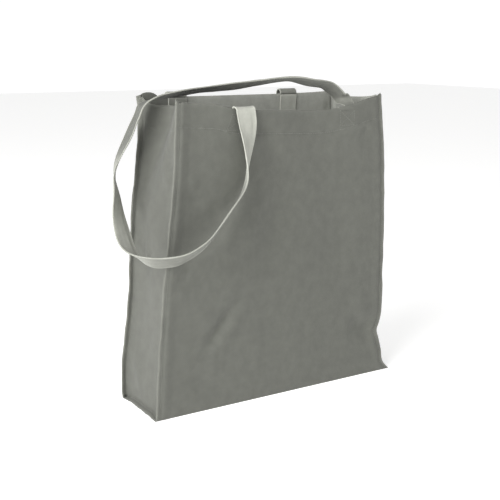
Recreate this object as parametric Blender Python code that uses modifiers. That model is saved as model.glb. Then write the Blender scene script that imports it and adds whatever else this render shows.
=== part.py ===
"""A non-woven shopping tote bag with side gussets and two long strap handles, standing open.

Metres, +Z up. The origin is the middle of the bottom, on the surface that the bag stands on.
The front panel faces -Y and the long side runs along X. Every sheet of cloth is a grid that a shape
function lays out, thickened by Solidify. Neighbouring sheets are kept GAP apart, where thread joins
the real ones.
"""

import math

import bmesh
import bpy
from mathutils import Vector

# Overall sizes
BAG_LENGTH = 0.380
BAG_DEPTH = 0.100
BAG_HEIGHT = 0.392
MOUTH_LENGTH = 0.318  # between the side seams at the rim: the open mouth pulls them in

# Cloth, strap and thread
CLOTH = 0.0008
HEM_CLOTH = 0.0005
STRAP = 0.0015
STRAP_WIDTH = 0.028
THREAD_RADIUS = 0.0003
GAP = 0.0003  # between pieces that touch on the real bag

# How the empty cloth stands
LEAN_EASE = 0.2  # the side seams lean in quickly low down and slowly near the rim
FRONT_SAG = 0.015  # how far the front rim hangs below its corners
BACK_SAG = 0.002
GUSSET_SAG = 0.009
SAG_CORNER = 0.40  # share of each half rim over which it climbs to its corner
FRONT_WAVE = 0.005  # the front rim swings this far out and in
WAVE_LENGTH = 0.222
WAVE_ZERO = -0.009
BACK_BOW = 0.003
VALLEY_DEPTH = 0.020  # the gussets fold in by this much at the rim
VALLEY_FROM = 0.240  # height at which that fold starts
END_RISE = 0.004  # the short ends of the bottom are held off the ground by their seams
RISE_RUN = 0.014

# Hems and seams
HEM = 0.032
HEM_END = 0.003  # a hem stops this far from the side seam
HEM_STITCH_BELOW = 0.0295
SEAM_WIDTH = 0.006
SEAM_CLOTH = 0.0012
SEAM_NUB = 0.003  # the seam allowances end this far above the rim
SEAM_FROM = 0.002
SEAM_STITCH_IN = 0.0015

# Handles
HANDLE_SPACING = 0.180  # between the middles of one handle's sewn ends
FRONT_SHIFT = 0.013
BACK_SHIFT = -0.008
TAB = 0.030
FOLD_OUT = 0.0055  # a folded handle hangs this far outside the middle of the panel's cloth
TAB_OUTSIDE = 0.005  # a folded handle's sewn end runs down this far outside the rim
TAB_ABOVE = 0.003  # a standing one rises this far above it
TAB_SLANT = 0.012  # the front left end leans towards the middle by this much over its length
BOX_STITCH_WIDTH = 0.022
BOX_STITCH_HEIGHT = 0.019
BOX_STITCH_BELOW = 0.0065
BOX_THREAD = 0.0012
BOX_THREAD_HEIGHT = 0.0004
STRAP_STEP = 0.009
BACK_LOOP_DROP = 0.262
BACK_HINGE_ABOVE = 0.006  # the back handle turns just above the top of its folds over the rim
FRONT_HINGE_BELOW = 0.0015  # the front loop turns just below its two ends
HINGE_GAP = 0.0005  # cut from each side where the front strap is parted
BACK_LOOP_OUT = 0.018

HALF_LENGTH = BAG_LENGTH / 2
HALF_DEPTH = BAG_DEPTH / 2
EDGE = CLOTH / 2 + GAP + 0.0001  # from a seam's corner line to the edge of each sheet
BOTTOM_EDGE = EDGE + 0.0006
HEM_OFFSET = CLOTH / 2 + GAP + HEM_CLOTH / 2
INSIDE_STRAP = CLOTH / 2 + GAP + HEM_CLOTH + GAP + STRAP / 2
OUTSIDE_THREAD = CLOTH / 2 + GAP + THREAD_RADIUS
SEAM_START = CLOTH / 2 + GAP + 0.0001
VALLEY_SPARE = 0.0004  # more room for the gusset's stitching, which crosses a steep fold

# The front handle as it lies, from below its fold over the front rim: down, round the front left
# corner of the bag, up to the rim of the left gusset and back across the mouth to its right end.
# Each row is what x and y count from, the edge of the strap nearest the bag, and the way that the
# strap's width points there, towards that edge. z counts from the top of the bag, or, on a row
# whose y counts from the front rim, from the height of that rim over the right end.
FRONT_ROUTE = [
    ("left end", "front", (0.0165, -0.0095, -0.0310), (0.99, 0.12, 0.00)),
    ("left end", "front", (0.0160, -0.0080, -0.0440), (0.95, 0.33, 0.00)),
    ("left end", "front", (0.0120, -0.0065, -0.0650), (0.78, 0.62, 0.00)),
    ("left end", "front", (0.0065, -0.0065, -0.0850), (0.58, 0.81, 0.00)),
    ("left end", "front", (-0.0005, -0.0095, -0.1045), (0.48, 0.87, -0.12)),
    ("left end", "front", (-0.0125, -0.0125, -0.1240), (0.40, 0.85, -0.35)),
    ("left seam", "front", (0.0680, -0.0165, -0.1450), (0.33, 0.81, -0.49)),
    ("left seam", "front", (0.0475, -0.0200, -0.1665), (0.25, 0.80, -0.55)),
    ("left seam", "front", (0.0295, -0.0200, -0.1810), (0.15, 0.80, -0.58)),
    ("left seam", "front", (0.0070, -0.0160, -0.1925), (0.12, 0.79, -0.60)),
    ("left seam", "front", (-0.0070, -0.0080, -0.1965), (0.40, 0.70, -0.60)),
    ("left seam", "front", (-0.0180, 0.0045, -0.1965), (0.66, 0.48, -0.58)),
    ("left seam", "back", (-0.0230, -0.0770, -0.1910), (0.84, 0.22, -0.50)),
    ("left seam", "back", (-0.0240, -0.0590, -0.1760), (0.92, 0.14, -0.37)),
    ("left seam", "back", (-0.0235, -0.0355, -0.1495), (0.88, 0.41, -0.25)),
    ("left seam", "back", (-0.0225, -0.0185, -0.1230), (0.69, 0.69, -0.20)),
    ("left seam", "back", (-0.0230, -0.0080, -0.0970), (0.48, 0.86, -0.16)),
    ("left seam", "back", (-0.0215, -0.0025, -0.0755), (0.26, 0.96, -0.10)),
    ("left seam", "back", (-0.0145, -0.0035, -0.0450), (0.22, 0.98, 0.00)),
    ("left seam", "back", (-0.0065, -0.0105, -0.0200), (0.30, 0.95, 0.06)),
    ("left seam", "back", (-0.0025, -0.0160, -0.0090), (0.20, 0.98, 0.08)),
    ("left seam", "back", (0.0080, -0.0185, -0.0025), (0.20, 0.98, 0.06)),
    ("left seam", "back", (0.0225, -0.0210, 0.0010), (0.24, 0.97, 0.04)),
    ("left seam", "back", (0.0425, -0.0265, 0.0045), (0.24, 0.97, 0.02)),
    ("right end", "back", (-0.1870, -0.0345, 0.0110), (0.24, 0.97, 0.00)),
    ("right end", "back", (-0.1475, -0.0445, 0.0145), (0.24, 0.97, 0.00)),
    ("right end", "rim", (-0.1185, 0.0480, 0.0324), (0.24, 0.97, 0.00)),
    ("right end", "rim", (-0.0755, 0.0375, 0.0374), (0.24, 0.97, 0.00)),
    ("right end", "rim", (-0.0455, 0.0300, 0.0344), (0.10, 0.99, 0.06)),
    ("right end", "rim", (-0.0250, 0.0255, 0.0304), (-0.15, 0.98, 0.10)),
    ("right end", "rim", (-0.0175, 0.0210, 0.0214), (-0.54, 0.84, 0.00)),
    ("right end", "rim", (-0.0150, 0.0145, 0.0139), (-0.86, 0.51, 0.00)),
]
LOOP_END_ROW = 20  # the row at which the hanging loop ends and the run across the mouth starts


# Shape of the standing cloth


def smooth(t):
    """0 up to 0 and 1 from 1, with an even S between."""
    t = min(max(t, 0.0), 1.0)
    return t * t * (3 - 2 * t)


def seam_x(z):
    """Half the distance between the left and right seams at height z."""
    t = z / BAG_HEIGHT
    lean = (1 + LEAN_EASE) * t - LEAN_EASE * t**3
    return HALF_LENGTH - (HALF_LENGTH - MOUTH_LENGTH / 2) * lean


def front_y(x, z):
    across = min(abs(x) / seam_x(z), 1.0)
    swing = math.sin(2 * math.pi * (x - WAVE_ZERO) / WAVE_LENGTH) * (1 - across**4)
    return -HALF_DEPTH + FRONT_WAVE * swing * smooth((z / BAG_HEIGHT - 0.3) / 0.7)


def back_y(x, z):
    across = min(abs(x) / seam_x(z), 1.0)
    return HALF_DEPTH + BACK_BOW * (1 - across**2) * smooth((z / BAG_HEIGHT - 0.3) / 0.7)


def gusset_x(y, z):
    """How far a gusset stands from the middle of the bag, on either side."""
    fold = VALLEY_DEPTH * smooth((z - VALLEY_FROM) / (BAG_HEIGHT - VALLEY_FROM))
    return seam_x(z) - fold * math.cos(math.pi * y / BAG_DEPTH) ** 2


def rim_z(x, sag):
    across = min(abs(x) / (MOUTH_LENGTH / 2), 1.0)
    return BAG_HEIGHT - sag * smooth((1 - across) / SAG_CORNER)


def gusset_rim_z(y):
    return BAG_HEIGHT - GUSSET_SAG * (1 - (y / HALF_DEPTH) ** 4)


# A face of the bag: offset counts inwards from the middle of the cloth


class Face:
    """The front (side -1) or back (side 1) panel as a surface over x and z."""

    def __init__(self, side):
        self.side = side
        self.sag = FRONT_SAG if side < 0 else BACK_SAG

    def place(self, x, z, offset):
        y = front_y(x, z) if self.side < 0 else back_y(x, z)
        return Vector((x, y - self.side * offset, z))

    def rim(self, x):
        return rim_z(x, self.sag)


FRONT = Face(-1)
BACK = Face(1)


# Building


def material_for(name, colour, roughness):
    found = bpy.data.materials.get(name)
    if found:
        return found
    made = bpy.data.materials.new(name)
    made.use_nodes = True
    shader = made.node_tree.nodes["Principled BSDF"]
    shader.inputs["Base Color"].default_value = (*colour, 1)
    shader.inputs["Roughness"].default_value = roughness
    shader.inputs["Metallic"].default_value = 0
    return made


def add_object(name, data, finish, origin=(0, 0, 0)):
    data.materials.append(finish)
    made = bpy.data.objects.new(name, data)
    made.location = origin
    parts.objects.link(made)
    return made


def thicken(made, thickness):
    wall = made.modifiers.new("Cloth thickness", "SOLIDIFY")
    wall.thickness = thickness
    wall.offset = 0
    wall.use_even_offset = True


def sheet(name, columns, rows, place, thickness, finish, origin=(0, 0, 0)):
    """A grid laid out by place(u, v), with u from -1 to 1 and v from 0 to 1."""
    shape = bmesh.new()
    bmesh.ops.create_grid(shape, x_segments=columns, y_segments=rows, size=1)
    for vertex in shape.verts:
        vertex.co = place(vertex.co.x, (vertex.co.y + 1) / 2) - Vector(origin)
    mesh = bpy.data.meshes.new(name)
    shape.to_mesh(mesh)
    shape.free()
    made = add_object(name, mesh, finish, origin)
    thicken(made, thickness)
    mesh.shade_smooth()
    return made


def thread(name, points):
    """A run of stitching: a thin round cord through the points."""
    curve = bpy.data.curves.new(name, "CURVE")
    curve.dimensions = "3D"
    curve.bevel_depth = THREAD_RADIUS
    curve.bevel_resolution = 1
    curve.use_fill_caps = True
    line = curve.splines.new("POLY")
    line.points.add(len(points) - 1)
    for point, place in zip(line.points, points, strict=True):
        point.co = (*place, 1)
    return add_object(name, curve, THREAD_FINISH)


def side_name(side):
    return "left" if side < 0 else "right"


def panel(name, face):
    def place(u, v):
        top = face.rim(u * MOUTH_LENGTH / 2)
        z = GAP + v * (top - GAP)
        return face.place(u * (seam_x(z) - EDGE), z, 0)

    sheet(name, 20, 10, place, CLOTH, CLOTH_FINISH)


def gusset(side):
    bottom = END_RISE

    def place(u, v):
        y = u * (HALF_DEPTH - EDGE)
        z = bottom + v * (gusset_rim_z(y) - bottom)
        return Vector((side * gusset_x(y, z), y, z))

    sheet(f"{side_name(side)}_gusset", 20, 10, place, CLOTH, CLOTH_FINISH)


def bottom_panel():
    def place(u, v):
        x = u * (HALF_LENGTH - BOTTOM_EDGE)
        y = (2 * v - 1) * (HALF_DEPTH - BOTTOM_EDGE)
        rise = END_RISE * smooth((abs(x) - (HALF_LENGTH - RISE_RUN)) / RISE_RUN)
        return Vector((x, y, CLOTH / 2 + rise))

    sheet("bottom_panel", 60, 1, place, CLOTH, CLOTH_FINISH)


def panel_hem(name, face):
    def place(u, v):
        x = u * (MOUTH_LENGTH / 2 - HEM_END)
        z = face.rim(x) - GAP - (1 - v) * HEM
        return face.place(x, z, HEM_OFFSET)

    sheet(name, 20, 2, place, HEM_CLOTH, CLOTH_FINISH)


def gusset_hem(side):
    def place(u, v):
        y = u * (HALF_DEPTH - HEM_END)
        z = gusset_rim_z(y) - GAP - (1 - v) * HEM
        return Vector((side * (gusset_x(y, z) - HEM_OFFSET), y, z))

    sheet(f"{side_name(side)}_hem", 20, 2, place, HEM_CLOTH, CLOTH_FINISH)


def upright_seam(side, end):
    """The allowances of one upright seam: side -1 is left, end -1 is the front."""
    where = f"{'front' if end < 0 else 'back'}_{side_name(side)}"
    top = BAG_HEIGHT + SEAM_NUB

    def place(u, v):
        z = SEAM_FROM + v * (top - SEAM_FROM)
        x = seam_x(z) + SEAM_START + (u + 1) / 2 * SEAM_WIDTH
        return Vector((side * x, end * HALF_DEPTH, z))

    sheet(f"{where}_seam", 1, 12, place, SEAM_CLOTH, CLOTH_FINISH)
    stitch_y = end * (HALF_DEPTH + SEAM_CLOTH / 2 + GAP + THREAD_RADIUS)
    points = []
    for row in range(13):
        z = 2 * SEAM_FROM + row / 12 * (BAG_HEIGHT - 2 * SEAM_FROM)
        points.append((side * (seam_x(z) + SEAM_START + SEAM_STITCH_IN), stitch_y, z))
    thread(f"{where}_seam_stitching", points)


def bottom_seam(side):
    """The allowances along one short end of the bottom, which slope down to the ground."""
    half_run = HALF_DEPTH - SEAM_CLOTH / 2 - EDGE - GAP
    outer_z = SEAM_CLOTH / 2 + GAP
    inner_z = END_RISE + CLOTH / 2

    def place(u, v):
        x = HALF_LENGTH + SEAM_START + (u + 1) / 2 * SEAM_WIDTH
        z = inner_z + (u + 1) / 2 * (outer_z - inner_z)
        return Vector((side * x, (2 * v - 1) * half_run, z))

    sheet(f"bottom_{side_name(side)}_seam", 1, 2, place, SEAM_CLOTH, CLOTH_FINISH)
    slope = math.atan2(inner_z - outer_z, SEAM_WIDTH)
    lift = SEAM_CLOTH / 2 + GAP + THREAD_RADIUS
    x = HALF_LENGTH + SEAM_START + SEAM_STITCH_IN + lift * math.sin(slope)
    z = inner_z - SEAM_STITCH_IN * math.tan(slope) + lift * math.cos(slope)
    ends = [(side * x, y, z) for y in (-half_run, 0, half_run)]
    thread(f"bottom_{side_name(side)}_seam_stitching", ends)


def panel_hem_stitching(name, face):
    half_run = MOUTH_LENGTH / 2 - HEM_END
    points = []
    for step in range(25):
        x = half_run * (step / 12 - 1)
        points.append(face.place(x, face.rim(x) - HEM_STITCH_BELOW, -OUTSIDE_THREAD))
    thread(name, points)


def gusset_hem_stitching(side):
    half_run = HALF_DEPTH - HEM_END
    points = []
    for step in range(21):
        y = half_run * (step / 10 - 1)
        z = gusset_rim_z(y) - HEM_STITCH_BELOW
        points.append((side * (gusset_x(y, z) + OUTSIDE_THREAD + VALLEY_SPARE), y, z))
    thread(f"{side_name(side)}_hem_stitching", points)


def box_stitch(name, face, middle):
    """A box with a cross in it: a rectangle of thread with four triangles left open."""
    shape = bmesh.new()
    half = (BOX_STITCH_WIDTH / 2, BOX_STITCH_HEIGHT / 2)
    inner = tuple(side - BOX_THREAD for side in half)
    turns = ((1, 1), (-1, 1), (-1, -1), (1, -1))
    outer = [shape.verts.new((a * half[0], 0, b * half[1])) for a, b in turns]
    hub = [shape.verts.new(place) for place in ((0, 0, BOX_THREAD), (-BOX_THREAD, 0, 0),
                                                (0, 0, -BOX_THREAD), (BOX_THREAD, 0, 0))]
    shape.faces.new(hub)
    flats = []  # at each corner, the ends of the two window sides that meet there
    for a, b in turns:
        on_level = shape.verts.new((a * (inner[0] - BOX_THREAD), 0, b * inner[1]))
        on_upright = shape.verts.new((a * inner[0], 0, b * (inner[1] - BOX_THREAD)))
        flats.append((on_level, on_upright))
    for corner in range(4):
        after = (corner + 1) % 4
        level = corner % 2 == 0  # the side from this corner to the next runs along X
        near = flats[corner][0 if level else 1]
        far = flats[after][0 if level else 1]
        shape.faces.new((outer[corner], outer[after], far, near))
        here = flats[corner][0 if level else 1]
        there = flats[corner][1 if level else 0]
        before_hub = hub[(corner - 1) % 4]
        shape.faces.new((outer[corner], here, there))
        shape.faces.new((here, hub[corner], before_hub, there))
    bmesh.ops.recalc_face_normals(shape, faces=shape.faces)
    bmesh.ops.triangulate(shape, faces=shape.faces)
    long_edges = [edge for edge in shape.edges if edge.calc_length() > BOX_STITCH_WIDTH / 3]
    bmesh.ops.subdivide_edges(shape, edges=long_edges, cuts=2)
    bmesh.ops.triangulate(shape, faces=shape.faces)
    centre_z = face.rim(middle) - BOX_STITCH_BELOW - half[1]
    offset = -(CLOTH / 2 + GAP + BOX_THREAD_HEIGHT / 2)
    for vertex in shape.verts:
        vertex.co = face.place(middle + vertex.co.x, centre_z + vertex.co.z, offset)
    mesh = bpy.data.meshes.new(name)
    shape.to_mesh(mesh)
    shape.free()
    made = add_object(name, mesh, THREAD_FINISH)
    thicken(made, BOX_THREAD_HEIGHT)


def tab(name, face, middle, slant, folded):
    """The sewn end of a handle. A folded one goes on over the rim and a little way down outside."""
    reach = -TAB_OUTSIDE if folded else TAB_ABOVE
    turn = (INSIDE_STRAP + FOLD_OUT) / 2
    centre = (INSIDE_STRAP - FOLD_OUT) / 2
    profile = [(INSIDE_STRAP, -TAB), (INSIDE_STRAP, -TAB / 2)]
    if folded:
        for step in range(7):
            angle = math.pi * step / 6
            profile.append((centre + turn * math.cos(angle), GAP + turn * math.sin(angle)))
        profile.append((-FOLD_OUT, reach))
    else:
        profile += [(INSIDE_STRAP, 0.0), (INSIDE_STRAP, reach)]

    def place(u, v):
        offset, above = profile[round(v * (len(profile) - 1))]
        lean = slant * (above + TAB / 2) / TAB if offset > 0 else slant * (TAB / 2 - above) / TAB
        x = middle + lean + u * STRAP_WIDTH / 2
        point = face.place(x, face.rim(middle) + min(above, 0), offset)
        return point + Vector((0, 0, max(above, 0)))

    sheet(name, 4, len(profile) - 1, place, STRAP, STRAP_FINISH)


def curve_through(rows):
    """Points and width directions about STRAP_STEP apart, on a smooth curve through the rows."""
    places = [Vector(place) for place, _ in rows]
    widths = [Vector(width).normalized() for _, width in rows]

    def blend(values, i, t):
        a = values[max(i - 1, 0)]
        b = values[i]
        c = values[i + 1]
        d = values[min(i + 2, len(values) - 1)]
        return 0.5 * (2 * b + (c - a) * t + (2 * a - 5 * b + 4 * c - d) * t**2
                      + (3 * b - a - 3 * c + d) * t**3)

    made = []
    for i in range(len(rows) - 1):
        pieces = max(1, round((places[i + 1] - places[i]).length / STRAP_STEP))
        for k in range(pieces):
            made.append((blend(places, i, k / pieces), blend(widths, i, k / pieces)))
    made.append((places[-1], widths[-1]))
    line = [made[0]]
    for before, (here, width), after in zip(made, made[1:], made[2:], strict=False):
        along = (after[0] - before[0]).normalized()
        line.append((here, (width - along * width.dot(along)).normalized()))
    line.append(made[-1])
    return line


def strap(name, line, origin):
    """A flat strap whose middle follows the line."""

    def place(u, v):
        here, width = line[round(v * (len(line) - 1))]
        return here + width * (u * STRAP_WIDTH / 2)

    sheet(name, 2, len(line) - 1, place, STRAP, STRAP_FINISH, origin)


def split(line, where):
    """The line in two at its point nearest to where, a little apart."""
    at = min(range(len(line)), key=lambda i: (line[i][0] - where).length)
    here, width = line[at]
    along = (line[at + 1][0] - line[at - 1][0]).normalized()
    return ([*line[:at], (here - along * HINGE_GAP, width)],
            [(here + along * HINGE_GAP, width), *line[at + 1 :]])


def fold_end(face, x, width):
    """The row at which a handle leaves the fold of its sewn end."""
    z = face.rim(x) - TAB_OUTSIDE - GAP
    return (tuple(face.place(x, z, -FOLD_OUT)), width)


def route_rows(left_x, right_x):
    """The middle of the strap along FRONT_ROUTE, with the way that its width points."""
    rows = []
    for x_from, y_from, (x, y, z), width in FRONT_ROUTE:
        height = z + (FRONT.rim(right_x) if y_from == "rim" else BAG_HEIGHT)
        start_x = {"left end": left_x, "left seam": -seam_x(height), "right end": right_x}[x_from]
        start_y = HALF_DEPTH if y_from == "back" else -HALF_DEPTH
        edge = Vector((start_x + x, start_y + y, height))
        rows.append((edge - Vector(width).normalized() * (STRAP_WIDTH / 2), width))
    return rows


def front_handle():
    lean = TAB_SLANT * (TAB / 2 + TAB_OUTSIDE) / TAB
    left_x = FRONT_SHIFT - HANDLE_SPACING / 2 + lean
    right_x = FRONT_SHIFT + HANDLE_SPACING / 2
    start = fold_end(FRONT, left_x, (1, 0, 0))
    above_tab = FRONT.rim(right_x) + TAB_ABOVE + 3 * GAP
    end = (tuple(FRONT.place(right_x, above_tab, INSIDE_STRAP)), (-1, 0, 0))
    rows = route_rows(left_x, right_x)
    line = curve_through([start, *rows, end])
    loop, run = split(line, rows[LOOP_END_ROW][0])
    below = Vector((-STRAP_WIDTH / 2, 0, -FRONT_HINGE_BELOW))
    strap("front_handle_loop", loop, loop[0][0] + below)
    strap("front_handle_run", run, run[-1][0])


def back_handle():
    """The back handle hangs down outside: two flat runs and, between them, an edgewise curve."""
    top = BACK.rim(0) - TAB_OUTSIDE - GAP
    half = HANDLE_SPACING / 2
    low = top - BACK_LOOP_DROP
    rows = [fold_end(BACK, BACK_SHIFT - half, (1, 0, 0))]
    for turn, width in ((0.16, (1, 0.05, 0)), (0.40, (0.97, 0.25, 0)),
                        (0.62, (0.80, 0.60, 0)), (0.78, (0.45, 0.88, 0))):
        z = top - turn * (BACK_LOOP_DROP - half * 0.8)
        y = back_y(BACK_SHIFT - half, z) + FOLD_OUT + BACK_LOOP_OUT * smooth(turn)
        rows.append(((BACK_SHIFT - half, y, z), width))
    y = HALF_DEPTH + FOLD_OUT + BACK_LOOP_OUT
    bend = half * 0.8
    for angle in (20, 50, 70):
        a = math.radians(angle)
        x = BACK_SHIFT - half * math.cos(a)
        rows.append(((x, y, low + bend - bend * math.sin(a)), (0.25 * math.cos(a), 1, 0)))
    rows.append(((BACK_SHIFT, y, low), (0, 1, 0)))
    for (x, y, z), (a, b, c) in rows[-2:0:-1]:
        rows.append(((2 * BACK_SHIFT - x, y, z), (-a, b, c)))
    rows.append(fold_end(BACK, BACK_SHIFT + half, (-1, 0, 0)))
    hinge = (BACK_SHIFT, HALF_DEPTH + BACK_BOW, BACK.rim(0) + BACK_HINGE_ABOVE)
    strap("back_handle_loop", curve_through(rows), hinge)


for old in list(bpy.data.objects):
    bpy.data.objects.remove(old)
parts = bpy.data.collections.new("Shopping tote bag")
bpy.context.scene.collection.children.link(parts)

CLOTH_FINISH = material_for("Grey spunbond polypropylene", (0.165, 0.170, 0.145), 0.85)
STRAP_FINISH = material_for("Grey folded spunbond strap", (0.300, 0.305, 0.265), 0.80)
THREAD_FINISH = material_for("Grey polyester thread", (0.200, 0.205, 0.180), 0.60)

panel("front_panel", FRONT)
panel("back_panel", BACK)
bottom_panel()
panel_hem("front_hem", FRONT)
panel_hem("back_hem", BACK)
panel_hem_stitching("front_hem_stitching", FRONT)
panel_hem_stitching("back_hem_stitching", BACK)
for side in (-1, 1):
    gusset(side)
    gusset_hem(side)
    gusset_hem_stitching(side)
    bottom_seam(side)
    for end in (-1, 1):
        upright_seam(side, end)
    front_x = FRONT_SHIFT + side * HANDLE_SPACING / 2
    slant = TAB_SLANT if side < 0 else 0.0
    tab(f"front_handle_{side_name(side)}_end", FRONT, front_x, slant, side < 0)
    box_stitch(f"front_{side_name(side)}_box_stitch", FRONT, front_x)
    back_x = BACK_SHIFT + side * HANDLE_SPACING / 2
    tab(f"back_handle_{side_name(side)}_end", BACK, back_x, 0.0, True)
    box_stitch(f"back_{side_name(side)}_box_stitch", BACK, back_x)
front_handle()
back_handle()
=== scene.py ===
# %% [markdown]
# # A non-woven shopping tote bag
# The bag is sewn from three pieces of spunbond polypropylene: one long strip that is the front, the
# bottom and the back, and a gusset for each side. Two long handles are sewn inside its rim.
# The solid model is loaded first. It holds every size, and the looks are laid over it.

# %% Load the solid model
import math

import bmesh
import bpy
from mathutils import Matrix, Vector, noise


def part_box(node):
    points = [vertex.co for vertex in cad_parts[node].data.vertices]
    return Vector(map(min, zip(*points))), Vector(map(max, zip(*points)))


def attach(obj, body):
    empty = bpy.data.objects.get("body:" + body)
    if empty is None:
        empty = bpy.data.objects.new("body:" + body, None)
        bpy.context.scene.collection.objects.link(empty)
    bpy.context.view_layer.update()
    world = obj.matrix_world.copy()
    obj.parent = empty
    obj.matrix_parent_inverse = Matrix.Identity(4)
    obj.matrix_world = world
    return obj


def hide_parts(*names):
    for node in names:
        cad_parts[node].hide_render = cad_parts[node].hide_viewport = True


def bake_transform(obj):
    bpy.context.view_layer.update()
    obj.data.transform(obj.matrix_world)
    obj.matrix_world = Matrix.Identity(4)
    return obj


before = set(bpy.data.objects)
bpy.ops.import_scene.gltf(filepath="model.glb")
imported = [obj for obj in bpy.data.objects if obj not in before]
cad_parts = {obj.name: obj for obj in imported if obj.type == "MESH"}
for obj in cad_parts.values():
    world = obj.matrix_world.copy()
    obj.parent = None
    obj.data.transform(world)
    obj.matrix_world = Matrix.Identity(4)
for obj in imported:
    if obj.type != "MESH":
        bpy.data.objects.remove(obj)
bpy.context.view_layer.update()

MM = 0.001
HALF_LENGTH = -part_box("left_gusset")[0][0]
HALF_DEPTH = (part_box("back_left_seam")[0][1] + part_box("back_left_seam")[1][1]) / 2
BAG_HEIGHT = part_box("back_panel")[1][2]
HALF_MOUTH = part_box("right_hem")[1][0]
print("bag", [round(v, 4) for v in (2 * HALF_LENGTH, 2 * HALF_DEPTH, BAG_HEIGHT)], "m")


# %% [markdown]
# The camera stands 1.4 m away at chest height for a bag on a table, to the left of the front, and
# looks down a little. A longish lens keeps the upright edges nearly parallel.

# %% Camera
LENS_MM = 75.6
CAMERA_AT = Vector((-0.8127, -1.1157, 0.4675))
LOOKS_AT = Vector((-0.0173, 0.0, 0.1887))
ROLL = math.radians(0.48)


def aim(thing, at, target, roll=0.0):
    """Place a camera or a light so that it looks at the target."""
    forward = (target - at).normalized()
    right = forward.cross(Vector((0, 0, 1))).normalized()
    up = right.cross(forward)
    tilted = right * math.cos(roll) + up * math.sin(roll)
    turned = up * math.cos(roll) - right * math.sin(roll)
    axes = Matrix((tilted, turned, -forward)).transposed()
    thing.matrix_world = Matrix.Translation(at) @ axes.to_4x4()


camera_data = bpy.data.cameras.new("Camera")
camera_data.lens = LENS_MM
camera_data.sensor_width = 36
camera = bpy.data.objects.new("Camera", camera_data)
bpy.context.scene.collection.objects.link(camera)
aim(camera, CAMERA_AT, LOOKS_AT, ROLL)
bpy.context.scene.camera = camera
print("camera", LENS_MM, "mm lens,", round((LOOKS_AT - CAMERA_AT).length, 3), "m from the bag")


# %% [markdown]
# Every colour is written as the hex value that a colour picker shows, and one function turns it
# into the linear light that a shader works with. The others start a material, add a node to it,
# and turn a finished bmesh into a piece.

# %% Helpers for colours, materials and pieces
def linear(hex_colour):
    """The linear RGBA of an sRGB hex value."""
    parts = [int(hex_colour[i : i + 2], 16) / 255 for i in (1, 3, 5)]
    return (*[c / 12.92 if c <= 0.04045 else ((c + 0.055) / 1.055) ** 2.4 for c in parts], 1.0)


def add(tree, kind, settings=None, links=None):
    """Add a node. Settings are attributes or input values, and links are inputs. An input is given
    by its name, or by its number where several share a name."""
    node = tree.nodes.new(kind)
    for name, value in (settings or {}).items():
        if isinstance(name, str) and hasattr(node, name):
            setattr(node, name, value)
        else:
            node.inputs[name].default_value = value
    for name, source in (links or {}).items():
        tree.links.new(source, node.inputs[name])
    return node


def start_material(name, settings):
    """A material with these values on its shader, its node tree and the shader."""
    made = bpy.data.materials.new(name)
    made.use_nodes = True
    shader = made.node_tree.nodes["Principled BSDF"]
    for socket, value in settings.items():
        shader.inputs[socket].default_value = value
    return made, made.node_tree, shader


def piece_of(name, shape, finish):
    """A new piece with the shape's mesh, made of this finish. The shape is used up."""
    mesh = bpy.data.meshes.new(name)
    shape.to_mesh(mesh)
    shape.free()
    mesh.materials.append(finish)
    mesh.shade_smooth()
    piece = bpy.data.objects.new(name, mesh)
    bpy.context.scene.collection.objects.link(piece)
    return piece


# %% [markdown]
# The studio is a pale floor under a white sky that darkens overhead. A large soft box on the left
# is the key light, so the gusset is the brightest side and the front is in half shade. A weak one
# in front fills the shade. The paper glows a little, so that it stays white all round the bag.

# %% Studio
FLOOR_SIZE = 14.0


def soft_box(name, at, target, size, watts):
    """A round lamp of this size, turned to the target."""
    data = bpy.data.lights.new(name, "AREA")
    data.shape = "DISK"
    data.size = size
    data.energy = watts
    light = bpy.data.objects.new(name, data)
    bpy.context.scene.collection.objects.link(light)
    aim(light, Vector(at), Vector(target))


bag_middle = (0, 0, BAG_HEIGHT / 2)
soft_box("Key light", (-2.15, -0.85, 1.35), bag_middle, 1.7, 85)
soft_box("Fill light", (0.6, -2.6, 1.4), bag_middle, 1.6, 8)

sky = bpy.data.worlds.new("White sky")
sky.use_nodes = True
way = add(sky.node_tree, "ShaderNodeTexCoord").outputs["Generated"]
up = add(sky.node_tree, "ShaderNodeSeparateXYZ", None, {"Vector": way}).outputs["Z"]
ceiling = add(sky.node_tree, "ShaderNodeMapRange",
              {"From Min": 0.06, "From Max": 0.5, "To Min": 1.05, "To Max": 0.35}, {"Value": up})
backdrop = sky.node_tree.nodes["Background"]
backdrop.inputs["Color"].default_value = linear("#ffffff")
sky.node_tree.links.new(ceiling.outputs["Result"], backdrop.inputs["Strength"])
bpy.context.scene.world = sky
bpy.context.scene.view_settings.view_transform = "Standard"

paper = start_material("White backdrop paper", {
    "Base Color": linear("#fbfbfa"), "Roughness": 0.9,
    "Emission Color": linear("#ffffff"), "Emission Strength": 0.5})[0]
floor_shape = bmesh.new()
bmesh.ops.create_grid(floor_shape, x_segments=1, y_segments=1, size=FLOOR_SIZE / 2)
floor = piece_of("Floor", floor_shape, paper)
print("studio", len(bpy.data.lights), "lamps over a floor of", FLOOR_SIZE, "m")


# %% [markdown]
# The cloth is spunbond polypropylene of about 85 g per square metre: fine filaments are laid at
# random and fused at small points by a heated roller. It is soft, matt and a little cloudy where
# the filaments lie thicker. The points are 1 mm apart on the real cloth. Here they are 1.7 mm
# apart, which is as fine as a view of the whole bag can show. The inside of the bag has a paler
# cloth, which stands for the light that comes through it.

# %% Material of the cloth and the straps
BOND_PITCH = 1.7 * MM
STRAP_PITCH = 1.4 * MM
CLOUD_SIZE = 14 * MM
FILAMENT = 0.9 * MM


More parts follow.
